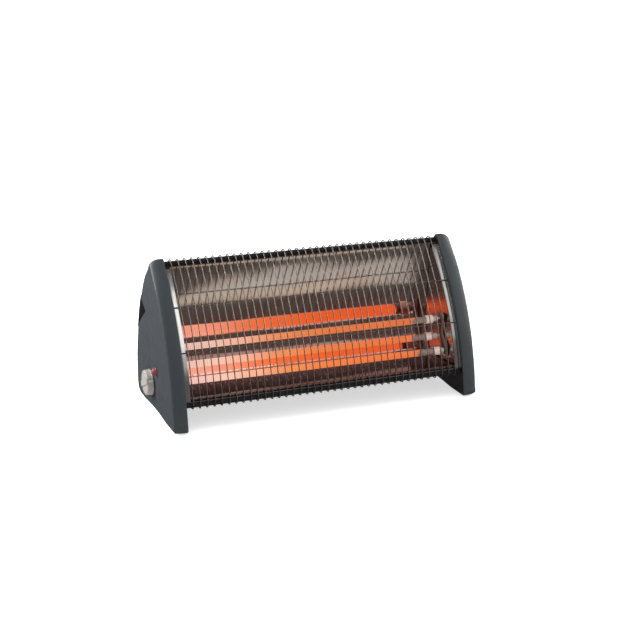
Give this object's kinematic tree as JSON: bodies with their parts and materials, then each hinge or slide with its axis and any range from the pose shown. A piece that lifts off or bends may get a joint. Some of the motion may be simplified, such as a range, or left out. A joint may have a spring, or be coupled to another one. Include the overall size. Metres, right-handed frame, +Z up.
{
  "type": "halogen heater",
  "caption": "Freestanding radiant heater with arched dark end caps, a curved wire grille, polished reflector, glowing quartz tubes, rotary control knob and red pilot lamp.",
  "frame": {"origin": "middle of the footprint's box, on the floor", "axes": "+X along the tubes towards the plain end cap, -Y is the front with the grille, +Z up"},
  "size_m": [0.5186, 0.2178, 0.244],
  "materials": {
    "cap_plastic": "satin",
    "black_plastic": "matte",
    "black_steel": "satin",
    "reflector_sheet": "polished, heat tinted",
    "reflector_end_sheet": "polished",
    "grille_wire": "satin",
    "quartz": "polished",
    "coil_wire": "glowing",
    "ceramic": "matte",
    "knob_plastic": "satin",
    "lamp_lens": "polished",
    "foot_rubber": "matte",
    "terminal_brass": "satin",
    "fitting_steel": "satin",
    "lead_insulation": "matte",
    "switch_plastic": "matte",
    "insulator": "matte"
  },
  "bodies": {
    "heater": {"left_end_cap": "cap_plastic", "right_end_cap": "cap_plastic", "left_grip_insert": "black_plastic", "right_grip_insert": "black_plastic", "pilot_lamp_body": "black_plastic", "cord_gland": "black_plastic", "left_inner_plate": "black_steel", "right_inner_plate": "black_steel", "rear_housing": "black_steel", "bottom_panel": "black_steel", "reflector": "reflector_sheet", "left_reflector_end": "reflector_end_sheet", "right_reflector_end": "reflector_end_sheet", "front_grille": "grille_wire", "quartz_tube_1": "quartz", "heating_coil_1": "coil_wire", "ceramic_left_1": "ceramic", "ceramic_right_1": "ceramic", "supply_lead_1": "lead_insulation", "quartz_tube_2": "quartz", "heating_coil_2": "coil_wire", "ceramic_left_2": "ceramic", "ceramic_right_2": "ceramic", "supply_lead_2": "lead_insulation", "quartz_tube_3": "quartz", "heating_coil_3": "coil_wire", "ceramic_left_3": "ceramic", "ceramic_right_3": "ceramic", "supply_lead_3": "lead_insulation", "return_lead": "lead_insulation", "pilot_lamp_lens": "lamp_lens", "foot_front_left": "foot_rubber", "foot_rear_left": "foot_rubber", "foot_front_right": "foot_rubber", "foot_rear_right": "foot_rubber", "right_terminal_strip": "terminal_brass", "switch_nut": "fitting_steel", "tip_over_spring": "fitting_steel", "left_tube_bracket": "fitting_steel", "right_tube_bracket": "fitting_steel", "housing_screw_1": "fitting_steel", "housing_screw_2": "fitting_steel", "housing_screw_3": "fitting_steel", "housing_screw_4": "fitting_steel", "rotary_switch_body": "switch_plastic", "tip_over_switch_body": "switch_plastic", "terminal_block": "insulator", "thermal_cutout": "insulator"},
    "knob": {"control_knob": "knob_plastic", "control_shaft": "fitting_steel"},
    "tip_plunger": {"tip_over_plunger": "black_plastic"}
  },
  "joints": [
    {"name": "knob_turn", "type": "hinge", "parent": "heater", "child": "knob", "pos_m": [-0.2527, 0.01595, 0.0465], "axis": [-1, 0, 0], "range_deg": [-135, 0]},
    {"name": "tip_plunger_slide", "type": "slide", "parent": "heater", "child": "tip_plunger", "axis": [0, 0, -1], "range_m": [0, 0.0044], "stiffness_N_per_m": 60, "springref_m": 0.008, "deforming": ["tip_over_spring"]}
  ]
}
